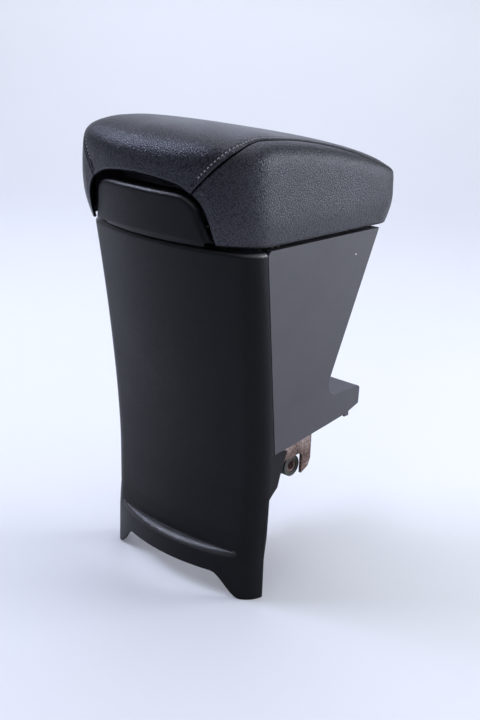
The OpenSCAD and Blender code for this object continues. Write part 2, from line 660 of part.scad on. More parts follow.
// Steel arms from the pin to the lid's base, joined by a plate under the base
arm_t = 3;
arm_in = ear_x - ear_t - 3;
arm_foot = 26;
arm_screw_x = 12;
arm_screw_y = axis_y + pocket_r + 14;
module hinge_arms() {
  y1 = axis_y + pocket_r + arm_foot;
  color("#8d9196") difference() {
    union() {
      for (s = [-1, 1]) translate([s*arm_in - arm_t/2, 0, 0]) rotate([90, 0, 90]) linear_extrude(arm_t) union() {
        translate([axis_y, axis_z]) circle(r = 7);
        polygon([[axis_y, axis_z + 7], [axis_y - 5, axis_z - 5], [axis_y + 6, lid_z + 3.4],
          [y1, lid_z + 3.4], [y1, plate_z - 0.1], [axis_y + 12, plate_z - 0.1]]);
      }
      translate([-arm_in - arm_t/2, axis_y + pocket_r + 4, plate_z - 2.1])
        cube([2*arm_in + arm_t, arm_foot - 4, 2]);
    }
    translate([0, axis_y, axis_z]) rotate([0, 90, 0]) cylinder(d = pin_d, h = 4*ear_x, center = true);
    for (s = [-1, 1]) translate([s*arm_screw_x, arm_screw_y, plate_z - 5]) cylinder(d = screw_d + 0.1, h = 10);
  }
}

// Plastic cover over the hinge, standing in the lid's notch, open to the front
cover_edge_r = 7;
cover_front_y = axis_y + 6;
// The cover narrows by this much towards the front on each side
cover_narrow = 24;
function cover_y(x, z) = cover_rear + cover_bow*pow(2*x/cover_w, 2) - cover_back*(z - cover_z)/cover_h;
// Solid of the cover's outside shrunk by e: balls along its upper edge, rollers along its foot
module cover_block(e) {
  r = cover_edge_r - e;
  top_half = cover_w/2 - cover_lean - cover_corner;
  top = cover_z + cover_h - cover_corner;
  reach = cover_corner - cover_edge_r;
  crown = concat([for (a = [0:30:90]) [top_half + reach*cos(a), top + reach*sin(a)]],
    [[top_half/2, top + reach]]);
  hull() for (s = [-1, 1]) {
    for (q = crown, front = [0, 1])
      translate([s*(q[0] - front*cover_narrow), front ? cover_front_y + 8 : cover_y(q[0], q[1]) + cover_edge_r,
        q[1] - 2*front]) sphere(r = r, $fn = 20);
    for (x = [cover_w/2 - 3, cover_w/3, cover_w/7])
      translate([s*x, cover_y(x, cover_z) + 3, cover_z]) cylinder(r = 3 - e, h = 1, $fn = 16);
    translate([s*(cover_w/2 - 3 - cover_narrow), cover_front_y + 8, cover_z]) cylinder(r = 3 - e, h = 1, $fn = 16);
  }
}

// Ribs inside the cover that stand on the bracket's sides
cover_rib_x = ear_x + ear_t + 12;
cover_rib_t = 3;
module hinge_cover() {
  t = 2.2;
  color("#222326") union() {
    difference() {
      cover_block(0);
      translate([0, 0, -0.1]) cover_block(t);
      translate([-cover_w, cover_front_y, cover_z - 1]) cube([2*cover_w, 60, 80]);
    }
    for (s = [-1, 1]) translate([s*cover_rib_x - cover_rib_t/2, 0, 0]) rotate([90, 0, 90])
      linear_extrude(cover_rib_t) polygon([[cover_rear + 7, cover_z + 1], [cover_rear + 20, cover_z + 1],
        [cover_rear + 20, body_h], [axis_y + 5, body_h], [axis_y + 5, cover_z + 14],
        [cover_rear + 7, cover_z + 14]]);
  }
}

// Latch

nose_y = wall_front - 12.5;
module latch_lever() {
  hub = 4.5;
  color("#232427") difference() {
    union() {
      translate([-latch_w/2 + 4, 0, 0]) rotate([90, 0, 90]) linear_extrude(latch_w - 8) union() {
        translate([latch_y, latch_z]) circle(r = hub);
        polygon([[latch_y, latch_z - hub], [latch_y + 3, latch_z + hub - 1.2], [front_end - 9, body_h + 7],
          [front_end - 9, body_h + 4], [front_end - 11, body_h + 4]]);
      }
      translate([-8, 0, 0]) rotate([90, 0, 90]) linear_extrude(16)
        polygon([[latch_y + 1, latch_z - 2], [latch_y - 2, latch_z + 2], [nose_y + 1, latch_z - 3],
          [nose_y + 1, body_h + 5], [nose_y - 2.5, body_h + 4.4], [nose_y - 2.5, body_h + 3],
          [nose_y + 4.5, body_h + 1.4], [nose_y + 5, latch_z - 8]]);
    }
    translate([0, latch_y, latch_z]) rotate([0, 90, 0])
      cylinder(r = latch_pin_d/2 + pin_fit, h = 2*latch_w, center = true);
    translate([0, spring_y, spring_z0]) cylinder(r = spring_r + 1, h = 20);
  }
}

module latch_pin() {
  color("#b9bcc0") translate([0, latch_y, latch_z]) rotate([0, 90, 0])
    cylinder(d = latch_pin_d, h = 2*latch_half - 1, center = true);
}

// Coil spring between the lever's finger plate and the roof of the latch pocket
spring_r = 3;
spring_wire = 0.8;
spring_y = front_end - 22;
// The spring stands in a recess of the finger plate
spring_z0 = body_h + 9.6;
module latch_spring() {
  z0 = spring_z0 + 0.1;
  z1 = latch_pocket_z - base_t - 0.1;
  turns = 7;
  n = 12;
  sides = 6;
  count = turns*n;
  function spine(k) = [spring_r*cos(360*k/n), spring_r*sin(360*k/n),
    mix(z0 + spring_wire/2, z1 - spring_wire/2, k/count)];
  pts = [for (k = [0:count], i = [0:sides - 1]) let (a = 360*k/n, b = 360*i/sides)
    spine(k) + spring_wire/2*[cos(b)*cos(a), cos(b)*sin(a), sin(b)]];
  faces = concat([[for (i = [sides - 1:-1:0]) i]],
    [for (k = [0:count - 1], i = [0:sides - 1]) each [
      [k*sides + i, (k + 1)*sides + (i + 1) % sides, (k + 1)*sides + i],
      [k*sides + i, k*sides + (i + 1) % sides, (k + 1)*sides + (i + 1) % sides]]],
    [[for (i = [0:sides - 1]) count*sides + i]]);
  color("#c4c6c8") translate([0, spring_y, 0]) polyhedron(pts, faces, convexity = 8);
}

// Catch plate on the rim that the lever's nose hooks under
module striker() {
  y0 = nose_y - 10;
  color("#9a9da1") union() {
    translate([-catch_w/2, y0, body_h]) cube([catch_w, 4, 2]);
    translate([-10, 0, 0]) rotate([90, 0, 90]) linear_extrude(20)
      polygon([[y0 + 2, body_h], [y0 + 4, body_h], [y0 + 4, body_h + 5.4], [nose_y - 0.5, body_h + 5.4],
        [nose_y - 0.5, body_h + 7.2], [y0 + 2, body_h + 7.2]]);
  }
}

buffer_y = [screw_y[0] - 7, screw_y[1] - 10];
module lid_buffers() {
  color("#161617") for (s = [-1, 1], y = buffer_y) translate([s*(screw_x), y, body_h])
    cylinder(d = 6, h = lid_gap - 0.3);
}

// Mounting bracket: web under the bin, two arched side plates, a centre strut with a foot, and
// a cross tube for the fixing bolts

web_z = bin_floor_z - bin_t - steel_t;
web_y0 = bin_rear(bin_floor_z) + 6;
web_y1 = rear_end + 165.5;
plate_low = 86;
tube_y = rear_end + 144;
tube_z = plate_low + 9;
foot_y = rear_end + 129;
tube_r = bolt_hole/2 + 2;
strut_w = 20;
strut_l = 24;
foot_l = 38;

module bracket_plate() {
  rotate([90, 0, 90]) linear_extrude(steel_t) difference() {
    polygon([[web_y0, web_z + steel_t], [web_y0, plate_low + 4], [web_y0 + 4, plate_low],
      [web_y0 + 12, plate_low], [web_y1 - 13, plate_low], [web_y1 - 3, plate_low + 5], [web_y1, plate_low + 12],
      [web_y1, web_z + steel_t]]);
    polygon([[web_y0 + 15, plate_low - 1], [web_y0 + 15, plate_low + 10], [web_y0 + 22, plate_low + 16],
      [web_y1 - 15, plate_low + 21], [web_y1 - 12.5, plate_low + 18], [web_y1 - 12.5, plate_low - 1]]);
  }
}

module mounting_bracket() {
  half = bracket_w/2;
  color("#6d4a3c") difference() {
    union() {
      translate([-half, web_y0, web_z]) cube([bracket_w, web_y1 - web_y0, steel_t]);
      for (s = [-1, 1]) translate([s > 0 ? half - steel_t : -half, 0, 0]) bracket_plate();
      for (s = [-1, 1]) translate([s > 0 ? strut_w/2 - steel_t : -strut_w/2, foot_y, 0])
        cube([steel_t, strut_l, web_z + 1]);
      translate([-strut_w/2, foot_y, 0]) cube([strut_w, foot_l, steel_t]);
      translate([-strut_w/2, foot_y, 0]) cube([strut_w, steel_t, web_z + 1]);
      translate([0, tube_y, tube_z]) rotate([0, 90, 0]) cylinder(r = tube_r, h = bracket_w - 2*steel_t - 4, center = true);
    }
    translate([0, tube_y, tube_z]) rotate([0, 90, 0]) cylinder(d = bolt_hole, h = bracket_w, center = true);
    translate([0, foot_y + 13, -1]) cylinder(d = bolt_hole, h = steel_t + 2);
  }
}

bush_d = 20;
bush_l = 16;
module bracket_bush() {
  color("#4b4f4a") for (s = [-1, 1]) mirror([s < 0 ? 1 : 0, 0, 0])
    translate([bracket_w/2 - steel_t - bush_l - 1, tube_y, tube_z]) rotate([0, 90, 0]) difference() {
      union() {
        cylinder(d = bush_d, h = bush_l);
        translate([0, 0, 2]) cylinder(d = bush_d + 2, h = 4);
      }
      translate([0, 0, -1]) cylinder(r = tube_r, h = bush_l + 2);
    }
}

module shelf_clips() {
  color("#17181a") for (s = [-1, 1]) on_side(s)
    translate([-wall - 2, shelf_front - 15, wall_low_z + 8]) cube([2, 6, 10]);
}

// Spring clips across the seam, inside the side wall and the rear cover
clip_z = [160, 215, 270];
clip_l = 16;
clip_h = 10;
clip_t = 1.2;
module cover_clips() {
  color("#a9acb0") for (s = [-1, 1], z = clip_z) on_side(s)
    translate([-wall - clip_t - 0.1, seam_y(z) - clip_l/4, z]) cube([clip_t, clip_l, clip_h]);
}

module screw(len) {
  cylinder(d = screw_d, h = len);
  translate([0, 0, len]) cylinder(d = 2*screw_d, h = 1.6);
}

module bin_screws() {
  color("#3b3b3d") for (s = [-1, 1], y = screw_y)
    translate([s*screw_x, y, rail_z]) screw(body_h - rail_z);
}

module lid_screws() {
  color("#3b3b3d") for (s = [-1, 1]) translate([s*arm_screw_x, arm_screw_y, pad_z])
    mirror([0, 0, 1]) screw(pad_z - plate_z + 2.1);
}

rear_cover();
housing();
storage_bin();
bin_mat();
hinge_cover();
hinge_bracket();
hinge_pin();
hinge_bushes();
hinge_arms();
lid_base();
lid_foam();
leather_top();
leather_right();
leather_left();
latch_lever();
latch_pin();
latch_spring();
striker();
lid_buffers();
mounting_bracket();
bracket_bush();
shelf_clips();
cover_clips();
bin_screws();
lid_screws();
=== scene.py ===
"""Looks of the car centre armrest: leather lid with seams and stitching, grained plastic, rusty bracket."""
import math

import bmesh
import bpy
import numpy as np
from mathutils import Matrix, Vector


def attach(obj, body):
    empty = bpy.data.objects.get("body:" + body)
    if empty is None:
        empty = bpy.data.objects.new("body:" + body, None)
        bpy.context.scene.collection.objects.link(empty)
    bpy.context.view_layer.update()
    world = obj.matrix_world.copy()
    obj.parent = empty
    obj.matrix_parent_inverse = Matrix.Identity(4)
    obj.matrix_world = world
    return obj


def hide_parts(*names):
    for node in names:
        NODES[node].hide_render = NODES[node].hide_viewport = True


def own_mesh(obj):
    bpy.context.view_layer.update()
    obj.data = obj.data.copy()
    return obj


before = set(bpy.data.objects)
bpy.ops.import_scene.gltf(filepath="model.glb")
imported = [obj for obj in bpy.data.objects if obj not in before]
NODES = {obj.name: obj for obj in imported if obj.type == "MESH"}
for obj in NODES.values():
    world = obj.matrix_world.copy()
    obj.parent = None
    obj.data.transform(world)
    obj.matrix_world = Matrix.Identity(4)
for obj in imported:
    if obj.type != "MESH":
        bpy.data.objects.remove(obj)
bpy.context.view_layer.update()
MM = 0.001

# Driving sizes of the part, in millimetres
BODY_W, BASE_W, BODY_H = 190.0, 174.0, 314.0
LID_LEN, LID_W = 238.0, 196.0
REAR, FRONT = -LID_LEN/2, LID_LEN/2
LID_HALF = LID_W/2
LID_Z = BODY_H + 3
LID_MID = LID_Z + 25
LID_CORNER, BOW_REAR = 45.0, 53.0
LID_REAR_Y, LID_FRONT_Y = REAR + BOW_REAR, FRONT - 36
WALL_FRONT = FRONT - 38
SEAM_RISE, SEAM_DROP, TOP_RISE = 81.0, 28.5, 85.5
COVER_W, COVER_LEAN, COVER_BACK, COVER_CORNER, COVER_BOW, COVER_H = 132.0, 7.0, 6.0, 19.0, 10.0, 37.0
COVER_Z, COVER_REAR = BODY_H + 6.5, REAR + 8.5
NOTCH_TOP = COVER_Z + COVER_H + 11
NOTCH_LOW = COVER_W/2 + 8
NOTCH_LEFT = 4.5  # the gap beside the cover is narrower on the left
SEAM_FRONT = 62.0


def mix(a, b, t):
    """a at t = 0, b at t = 1."""
    return a + (b - a)*t


def ease(a, b, x):
    """Smooth step from 0 at a to 1 at b, which may run downwards."""
    t = np.clip((x - a)/(b - a), 0, 1)
    return t*t*(3 - 2*t)


def end_curve(w, r, d, yk, s, nc, nb):
    """One bowed end of an outline: two corner arcs and a wide arc between them, from right to left."""
    rb = (d*d + (w - r)**2 - r*r)/(2*(d - r))
    a = math.asin((w - r)/(rb - r))
    yc = yk - s*(rb - d)
    t = (math.pi/2 - a)*np.arange(nc)/nc
    corner = np.c_[w - r + r*np.cos(t), yk + s*r*np.sin(t)]
    u = a - 2*a*np.arange(nb + 1)/nb
    bow = np.c_[rb*np.sin(u), yc + s*rb*np.cos(u)]
    return np.vstack([corner, bow, corner[::-1]*[-1, 1]])


def chaikin(p, times):
    """Rounds a polyline by cutting its corners."""
    for _ in range(times):
        a, b = p[:-1]*0.75 + p[1:]*0.25, p[:-1]*0.25 + p[1:]*0.75
        p = np.vstack([p[:1], np.stack([a, b], 1).reshape(-1, 2), p[-1:]])
    return p


def mesh_object(name, verts, faces, mat, body, uv=None):
    """A smooth-shaded piece from points in millimetres, riding on a body."""
    me = bpy.data.meshes.new(name)
    me.from_pydata((np.asarray(verts)*MM).tolist(), [], [list(f) for f in faces])
    me.validate()
    if uv is not None:
        layer = me.uv_layers.new(name="seam")
        flat = np.asarray(uv)
        for loop in me.loops:
            layer.data[loop.index].uv = flat[loop.vertex_index]
    for poly in me.polygons:
        poly.use_smooth = True
    me.materials.append(mat)
    ob = bpy.data.objects.new(name, me)
    bpy.context.collection.objects.link(ob)
    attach(ob, body)
    return ob


def turn_out(ob):
    """Turns every face of a mesh outwards."""
    bm = bmesh.new()
    bm.from_mesh(ob.data)
    bmesh.ops.dissolve_degenerate(bm, dist=0.000002, edges=bm.edges)
    bmesh.ops.recalc_face_normals(bm, faces=bm.faces)
    bm.to_mesh(ob.data)
    bm.free()


def grid_faces(rows, cols, closed=False, base=0, flip=False):
    """Quads of a grid of points stored row by row, from point number base."""
    out = []
    for j in range(rows - 1):
        for i in range(cols if closed else cols - 1):
            k = (i + 1) % cols
            f = [base + j*cols + i, base + j*cols + k, base + (j + 1)*cols + k, base + (j + 1)*cols + i]
            out.append(f[::-1] if flip else f)
    return out


# Materials

def material(name, base, rough, metallic=0.0, spec=0.5):
    """A new material with its node tree and shader; plain values sit on the shader's sockets."""
    m = bpy.data.materials.new(name)
    m.use_nodes = True
    nt = m.node_tree
    bsdf = nt.nodes["Principled BSDF"]
    bsdf.inputs["Base Color"].default_value = (*base, 1)
    bsdf.inputs["Roughness"].default_value = rough
    bsdf.inputs["Metallic"].default_value = metallic
    bsdf.inputs["Specular IOR Level"].default_value = spec
    return m, nt, bsdf


def node(nt, kind, **inputs):
    """A new node with sockets or properties set by name."""
    n = nt.nodes.new(kind)
    for k, v in inputs.items():
        key = k.replace("_", " ")
        if key in n.inputs:
            n.inputs[key].default_value = v
        else:
            setattr(n, k, v)
    return n


def coords(nt):
    """Object coordinates, in metres."""
    return nt.nodes.new("ShaderNodeTexCoord").outputs["Object"]


def noise(nt, scale, detail=4.0, src=None):
    """Cloudy noise, scale in clouds per metre."""
    n = node(nt, "ShaderNodeTexNoise", Scale=scale, Detail=detail)
    nt.links.new(src or coords(nt), n.inputs["Vector"])
    return n.outputs["Fac"]


def ramp(nt, fac, stops):
    """Colours at the given stops of fac."""
    r = nt.nodes.new("ShaderNodeValToRGB")
    nt.links.new(fac, r.inputs["Fac"])
    el = r.color_ramp.elements
    el[0].position, el[0].color = stops[0][0], (*stops[0][1], 1)
    el[1].position, el[1].color = stops[-1][0], (*stops[-1][1], 1)
    for pos, col in stops[1:-1]:
        e = el.new(pos)
        e.color = (*col, 1)
    return r.outputs["Color"]


def spread(nt, fac, lo, hi, a=0.3, b=0.7):
    """Maps fac from a..b to lo..hi, held at both ends."""
    r = node(nt, "ShaderNodeMapRange")
    r.inputs["From Min"].default_value, r.inputs["From Max"].default_value = a, b
    r.inputs["To Min"].default_value, r.inputs["To Max"].default_value = lo, hi
    nt.links.new(fac, r.inputs["Value"])
    return r.outputs["Result"]


def maths(nt, op, a, b=None):
    """A math node on sockets or plain numbers."""
    n = nt.nodes.new("ShaderNodeMath")
    n.operation = op
    for i, v in enumerate((a, b)):
        if v is None:
            continue
        if isinstance(v, (int, float)):
            n.inputs[i].default_value = v
        else:
            nt.links.new(v, n.inputs[i])
    return n.outputs[0]


def pebbles(nt, scale, warp=0.15):
    """Height of a pebbled grain: domed cells with narrow grooves between them."""
    src = coords(nt)
    wob = node(nt, "ShaderNodeTexNoise", Scale=scale*0.6, Detail=2.0)
    nt.links.new(src, wob.inputs["Vector"])
    add = node(nt, "ShaderNodeVectorMath", operation="MULTIPLY_ADD")
    nt.links.new(wob.outputs["Color"], add.inputs[0])
    add.inputs[1].default_value = (warp/scale*3,)*3
    nt.links.new(src, add.inputs[2])
    v = node(nt, "ShaderNodeTexVoronoi", feature="DISTANCE_TO_EDGE", Scale=scale)
    nt.links.new(add.outputs[0], v.inputs["Vector"])
    flat = spread(nt, v.outputs["Distance"], 0, 1, 0.0, 0.3)
    near = node(nt, "ShaderNodeTexVoronoi", feature="F1", Scale=scale)
    nt.links.new(add.outputs[0], near.inputs["Vector"])
    dome = spread(nt, near.outputs["Distance"], 1, 0, 0.0, 0.9)
    return maths(nt, "ADD", maths(nt, "MULTIPLY", flat, 0.55), maths(nt, "MULTIPLY", dome, 0.45))


def bump(nt, bsdf, height, strength, dist, then=None):
    """A bump node into the shader, laid over the normal given as then."""
    b = node(nt, "ShaderNodeBump", Strength=strength, Distance=dist)
    nt.links.new(height, b.inputs["Height"])
    if then is not None:
        nt.links.new(then, b.inputs["Normal"])
    nt.links.new(b.outputs["Normal"], bsdf.inputs["Normal"])
    return b.outputs["Normal"]


def plastic(name, base, rough, grain=700.0, strength=0.35, dist=0.00012, tone=0.25, spec=0.5, painted_top_sheen=None):
    """Moulded plastic with a pebbled grain; grain is cells per metre, dist the grain's depth in metres."""
    m, nt, bsdf = material(name, base, rough, spec=spec)
    cloud = noise(nt, 14.0, 6.0)
    nt.links.new(spread(nt, cloud, rough - 0.05, rough + 0.06), bsdf.inputs["Roughness"])
    dark = tuple(c*(1 - tone) for c in base)
    light = tuple(c*(1 + tone) for c in base)
    nt.links.new(ramp(nt, noise(nt, 60.0, 5.0), [(0.3, dark), (0.7, light)]), bsdf.inputs["Base Color"])
    bump(nt, bsdf, pebbles(nt, grain), strength, dist)
    if painted_top_sheen is not None:
        # Painted highlight: faces turned upwards get a higher specular level than the walls, so upper edges
        # shine brighter
        sep = nt.nodes.new("ShaderNodeSeparateXYZ")
        nt.links.new(nt.nodes.new("ShaderNodeTexCoord").outputs["Normal"], sep.inputs[0])
        nt.links.new(spread(nt, sep.outputs["Z"], spec, painted_top_sheen, 0.12, 0.45), bsdf.inputs["Specular IOR Level"])
    return m


def metal(name, base, rough, tone=0.15, scale=90.0):
    """Bare or plated steel with a cloudy gloss."""
    m, nt, bsdf = material(name, base, rough, metallic=1.0)
    n = noise(nt, scale, 6.0)
    nt.links.new(spread(nt, n, rough - 0.08, rough + 0.12), bsdf.inputs["Roughness"])
    nt.links.new(ramp(nt, noise(nt, scale*0.4, 3.0),
                      [(0.3, tuple(c*(1 - tone) for c in base)), (0.7, base)]), bsdf.inputs["Base Color"])
    bump(nt, bsdf, noise(nt, scale*12, 3.0), 0.15, 0.00005)
    return m


COVER_BLACK = (0.0045, 0.0045, 0.0065)
BODY_BLACK = (0.036, 0.0348, 0.046)
LEATHER_BLACK = (0.0115, 0.0118, 0.0165)

cover_plastic = plastic("grained cover plastic", COVER_BLACK, 0.34, 900.0, 0.8, 0.00014, tone=0.1, spec=0.13,
                        painted_top_sheen=1.0)
body_plastic = plastic("grained body plastic", BODY_BLACK, 0.47, 1100.0, 0.4, 0.00010, tone=0.05, spec=0.55)


def add_fleck(m, at, radius):
    """A pale fleck of dirt at one place, in metres."""
    nt = m.node_tree
    bsdf = nt.nodes["Principled BSDF"]
    old = bsdf.inputs["Base Color"].links[0].from_socket
    far = node(nt, "ShaderNodeVectorMath", operation="DISTANCE")
    nt.links.new(coords(nt), far.inputs[0])
    far.inputs[1].default_value = at
    both = nt.nodes.new("ShaderNodeMix")
    both.data_type = "RGBA"
    nt.links.new(spread(nt, far.outputs["Value"], 1, 0, radius*0.7, radius), both.inputs[0])
    nt.links.new(old, both.inputs[6])
    both.inputs[7].default_value = (0.75, 0.77, 0.82, 1)
    nt.links.new(both.outputs[2], bsdf.inputs["Base Color"])


add_fleck(body_plastic, (0.0945, 0.0509, 0.2949), 0.0008)
bin_plastic = plastic("plain bin plastic", (0.022, 0.022, 0.023), 0.5, 1500.0, 0.12, 0.00005)
soft_rubber = plastic("soft rubber", (0.014, 0.014, 0.014), 0.75, 1800.0, 0.2, 0.00005)
bush_rubber = plastic("worn rubber", (0.040, 0.043, 0.036), 0.7, 300.0, 0.5, 0.0003, tone=0.5)
bush_plastic = plastic("natural plastic", (0.6, 0.57, 0.48), 0.4, 1500.0, 0.1, 0.00004, tone=0.06)
zinc = metal("zinc plated steel", (0.55, 0.56, 0.58), 0.34)
black_steel = metal("black steel", (0.05, 0.05, 0.052), 0.4)


def rusty_steel():
    """Steel under rust, from dark scale to pale powder."""
    m, nt, bsdf = material("rusty steel", (0.3, 0.2, 0.17), 0.8)
    big, fine = noise(nt, 45.0, 8.0), noise(nt, 420.0, 6.0)
    both = maths(nt, "ADD", maths(nt, "MULTIPLY", big, 0.6), maths(nt, "MULTIPLY", fine, 0.4))
    nt.links.new(ramp(nt, both, [(0.36, (0.045, 0.030, 0.026)), (0.46, (0.14, 0.085, 0.070)),
                                 (0.54, (0.27, 0.20, 0.185)), (0.64, (0.40, 0.34, 0.33))]),
                 bsdf.inputs["Base Color"])
    nt.links.new(spread(nt, big, 0.9, 0.55), bsdf.inputs["Roughness"])
    bump(nt, bsdf, both, 0.6, 0.0006)
    return m


def leather():
    """Pebbled leather with puckers along the stitched seams."""
    m, nt, bsdf = material("pebbled leather", LEATHER_BLACK, 0.34, spec=0.6)
    bsdf.inputs["Specular Tint"].default_value = (0.86, 0.885, 1.0, 1)
    peb = pebbles(nt, 560.0, 0.3)
    fine = noise(nt, 2600.0, 3.0)
    nt.links.new(spread(nt, noise(nt, 18.0, 6.0), 0.34, 0.44), bsdf.inputs["Roughness"])
    # Painted shade: the grooves between the pebbles are coloured darker and the dome tops lighter
    nt.links.new(ramp(nt, peb, [(0.0, (0.004, 0.004, 0.006)), (0.6, LEATHER_BLACK),
                                (1.0, (0.018, 0.019, 0.027))]), bsdf.inputs["Base Color"])
    first = bump(nt, bsdf, fine, 0.12, 0.00006)
    # Puckers across the row of stitches, from the panel's own map: along the seam and away from it
    uv = nt.nodes.new("ShaderNodeUVMap")
    uv.uv_map = "seam"
    sep = nt.nodes.new("ShaderNodeSeparateXYZ")
    nt.links.new(uv.outputs["UV"], sep.inputs[0])
    along = maths(nt, "COSINE", maths(nt, "MULTIPLY", sep.outputs["X"], 2*math.pi/STITCH))
    away = maths(nt, "DIVIDE", maths(nt, "SUBTRACT", sep.outputs["Y"], STITCH_IN - 0.6), 2.4)
    bell = maths(nt, "POWER", 2.718, maths(nt, "MULTIPLY", maths(nt, "MULTIPLY", away, away), -1.0))
    second = bump(nt, bsdf, maths(nt, "MULTIPLY", along, bell), 1.0, 0.0007, first)
    bump(nt, bsdf, peb, 1.0, 0.0002, second)
    # Painted shade: the grooves get a lower specular level than the dome tops, so they read darker
    nt.links.new(spread(nt, peb, 0.34, 0.62, 0.1, 0.6), bsdf.inputs["Specular IOR Level"])
    return m


STITCH = 3.6  # pitch of the stitches
STITCH_IN = 6.3  # distance of the stitches from the seam
leather_mat = leather()
rust = rusty_steel()


def thread_mat():
    """Pale grey sewing thread."""
    m, nt, bsdf = material("thread", (0.33, 0.31, 0.31), 0.7)
    nt.links.new(ramp(nt, noise(nt, 900.0, 3.0), [(0.3, (0.22, 0.21, 0.21)), (0.7, (0.42, 0.40, 0.40))]),
                 bsdf.inputs["Base Color"])
    bump(nt, bsdf, noise(nt, 3000.0, 2.0), 0.5, 0.0001)
    return m


thread = thread_mat()
bsdf_of = {"housing": body_plastic, "storage_bin": bin_plastic, "bin_mat": soft_rubber,
           "hinge_bracket": black_steel, "hinge_pin": zinc, "hinge_bushes": bush_plastic,
           "hinge_arms": black_steel,
           "lid_base": body_plastic, "latch_lever": body_plastic, "latch_pin": zinc, "latch_spring": zinc,
           "striker": zinc, "lid_buffers": soft_rubber, "mounting_bracket": rust, "bracket_bush": bush_rubber,
           "shelf_clips": body_plastic, "cover_clips": zinc, "bin_screws": black_steel,
           "lid_screws": black_steel, "rear_cover": cover_plastic, "hinge_cover": cover_plastic,
           "lid_foam": soft_rubber, "leather_top": leather_mat, "leather_right": leather_mat,
           "leather_left": leather_mat}
for name, mat in bsdf_of.items():
    ob = NODES[name]
    ob.data.materials.clear()
    ob.data.materials.append(mat)
    for slot_index in range(len(ob.material_slots)):
        ob.material_slots[slot_index].material = mat


def soften(name, width):
    """Small rounded edges on a moulded or pressed node."""
    ob = NODES[name]
    weld = ob.modifiers.new("weld", "WELD")
    weld.merge_threshold = 0.00001
    flat = ob.modifiers.new("flat", "DECIMATE")
    flat.decimate_type = "DISSOLVE"
    flat.angle_limit = math.radians(1)
    bev = ob.modifiers.new("edge", "BEVEL")
    bev.width = width*MM
    bev.segments = 3
    bev.limit_method = "ANGLE"
    bev.angle_limit = math.radians(35)
    bev.harden_normals = True


for name, width in (("mounting_bracket", 0.5), ("storage_bin", 0.5), ("latch_lever", 0.5),
                    ("shelf_clips", 0.3)):
    soften(name, width)


# Rear cover, at a finer step than the solid's

CORNER_Y = REAR + 52
SKIRT, LEDGE, ARCH = 37.0, 6.0, 21.0
LEG_FRONT = np.array([[0, 72.3], [76, 75.2], [93, 78.2], [97, 82], [102, 87.6], [116, 91.1], [133, 97.5]])
WALL_LOW = 134.0


def half_w(z):
    """Half the body's width at height z."""
    return BODY_W/2 - (BODY_W - BASE_W)/2/BODY_H*(BODY_H - z)


def corner_at(z):
    """Where along y the rear cover's corners start."""
    if z > 100:
        return CORNER_Y + 26*(1 - ((z - 100)/(BODY_H - 100))**1.5)
    return CORNER_Y + 26 - 5.2*min(1, max(0, (60 - z)/60))


def bow_at(z):
    """How far the rear cover bows backwards at height z."""
    if z <= SKIRT:
        return 34.0
    if z < SKIRT + LEDGE:
        return 26 + 8*math.sqrt(max(0, 1 - ((z - SKIRT)/LEDGE)**2))
    return mix(26, 32, ((z - SKIRT - LEDGE)/(BODY_H - SKIRT - LEDGE))**1.3)


def seam_y(z):
    """Where the rear cover meets the housing's side walls."""
    return REAR + 81.2 - 0.1416*(z - WALL_LOW)


def cover_front(z):
    """Front edge of the rear cover's sides, down to its legs."""
    if z > WALL_LOW:
        return seam_y(z) - 0.8
    return REAR + float(np.interp(z, LEG_FRONT[:, 0], LEG_FRONT[:, 1]))


def cover_row(z, e, side_n=14):
    """The rear cover's outline at height z, e inside its outer face."""
    top = 5 - math.sqrt(max(0, 25 - (z - BODY_H + 5)**2)) if z > BODY_H - 5 else 0.0
    w, yk = half_w(z) - e - top, corner_at(z)
    arc = end_curve(w, 20 - e - top*0.6, bow_at(z) - e - top, yk, -1, 12, 40)
    t = np.arange(side_n)/side_n
    side = np.c_[np.full(side_n, w), mix(cover_front(z), yk, t)]
    return np.vstack([side, arc, side[::-1]*[-1, 1]])


def rear_cover():
    """The bowed rear panel with ledge, skirt, arch and legs, as a 3 mm shell."""
    lower = np.linspace(0, 1, 12)
    levels = np.r_[[SKIRT + LEDGE*math.sin(a) for a in np.linspace(0.05, math.pi/2, 10)],
                   np.arange(45, 133, 3.0), [133.0, 134.2], np.arange(137, 309, 3.0),
                   [BODY_H - 5 + 5*math.sin(a) for a in np.linspace(0.0, math.pi/2, 10)]]

    def layer(e):
        rows = []
        base = cover_row(SKIRT, e)
        low = ARCH*(1 - ease(half_w(0) - 37, half_w(0) - 10, np.abs(base[:, 0])))
        for t in lower:
            rows.append(np.c_[base, mix(low, SKIRT, t)])
        for z in levels:
            p = cover_row(z, e)
            rows.append(np.c_[p, np.full(len(p), z)])
        return np.array(rows)
    out, inn = layer(0.0), layer(3.0)
    r, c = out.shape[:2]
    n = r*c
    v = np.vstack([out.reshape(-1, 3), inn.reshape(-1, 3)])
    f = grid_faces(r, c) + grid_faces(r, c, base=n, flip=True)
    for i in range(c - 1):
        f.append([i, n + i, n + i + 1, i + 1])
        f.append([(r - 1)*c + i, (r - 1)*c + i + 1, n + (r - 1)*c + i + 1, n + (r - 1)*c + i])
    for j in range(r - 1):
        f.append([j*c, (j + 1)*c, n + (j + 1)*c, n + j*c])
        f.append([j*c + c - 1, n + j*c + c - 1, n + (j + 1)*c + c - 1, (j + 1)*c + c - 1])
    ob = mesh_object("rear_cover_skin", v, f, cover_plastic, "body")
    bev = ob.modifiers.new("edge", "BEVEL")
    bev.width = 0.5*MM
    bev.segments = 2
    bev.limit_method = "ANGLE"
    bev.angle_limit = math.radians(50)
    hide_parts("rear_cover")
    return ob


rear_cover()


# Hinge cover: a face with a rounded rim, walls that run forward and inward

